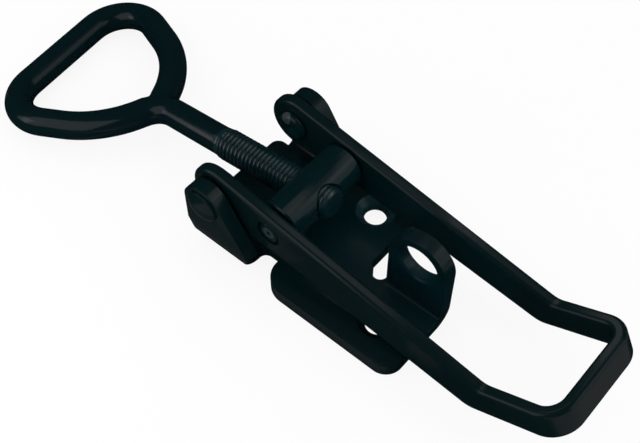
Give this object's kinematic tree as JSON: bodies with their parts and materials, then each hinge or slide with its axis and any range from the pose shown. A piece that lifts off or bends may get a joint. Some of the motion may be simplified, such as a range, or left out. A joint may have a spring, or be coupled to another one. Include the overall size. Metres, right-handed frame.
{
  "type": "over centre toggle latch",
  "caption": "Adjustable over-centre toggle latch: bent base plate with padlock tab, U-shaped lever, trunnion and threaded loop bolt.",
  "frame": {"origin": "on the base plate's mounting face, under the lever's pivot axis, on the latch's middle plane", "axes": "+X from the loop towards the handle, +Y across the latch to the side without the long flange, +Z out of the mounting face"},
  "size_m": [0.2114, 0.0641, 0.0317],
  "materials": {
    "base_black": "black satin-gloss coating",
    "lever_black": "black satin-gloss coating",
    "rivet_black": "black satin-gloss coating",
    "trunnion_black": "black satin-gloss coating",
    "bolt_black": "black satin-gloss coating"
  },
  "bodies": {
    "base": {"base_plate": "base_black", "near_pivot_rivet": "rivet_black", "far_pivot_rivet": "rivet_black"},
    "lever": {"lever": "lever_black"},
    "trunnion": {"trunnion": "trunnion_black"},
    "loop_bolt": {"loop_bolt": "bolt_black"}
  },
  "joints": [
    {"name": "lever_hinge", "type": "hinge", "parent": "base", "child": "lever", "pos_m": [0, 0, 0.0203], "axis": [0, -1, 0], "range_deg": [0, 165]},
    {"name": "trunnion_hinge", "type": "hinge", "parent": "lever", "child": "trunnion", "pos_m": [0.0198, 0, 0.0189], "axis": [0, 1, 0], "range_deg": [0, 165]},
    {"name": "bolt_turn", "type": "hinge", "parent": "trunnion", "child": "loop_bolt", "pos_m": [0.0198, 0, 0.0189], "axis": [-0.9914, 0, -0.131], "range_deg": [0, 180]}
  ],
  "couplings": [
    {"joint": "trunnion_hinge", "follows": "lever_hinge", "ratio": 1}
  ]
}
